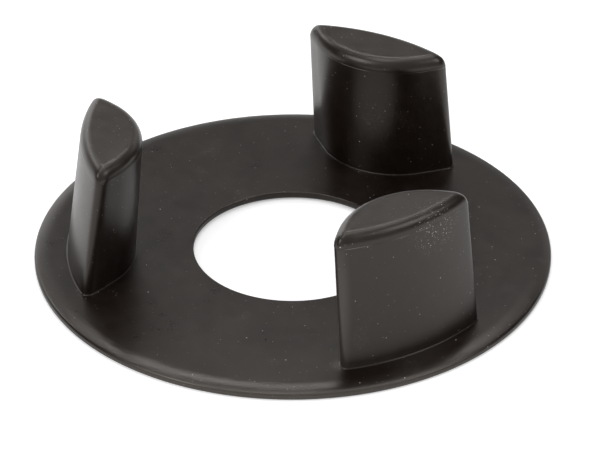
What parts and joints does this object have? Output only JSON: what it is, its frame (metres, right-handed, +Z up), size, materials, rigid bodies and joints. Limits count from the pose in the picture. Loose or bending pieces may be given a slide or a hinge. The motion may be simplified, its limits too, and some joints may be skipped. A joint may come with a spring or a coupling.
{
  "type": "blender jar pad",
  "caption": "Black rubber pad for a blender base: a round disc with a central hole and tall almond-shaped posts that hold the jar's foot.",
  "frame": {"origin": "centre of the disc, on its flat underside", "axes": "+Z up along the axis of the disc and its hole, the way the posts stand; +Y from the axis to the middle of one post; +X to the right seen from the opposite side"},
  "size_m": [0.13, 0.13, 0.0374],
  "materials": {
    "rubber_black": "satin"
  },
  "bodies": {
    "root": {"jar_pad": "rubber_black"}
  },
  "joints": []
}
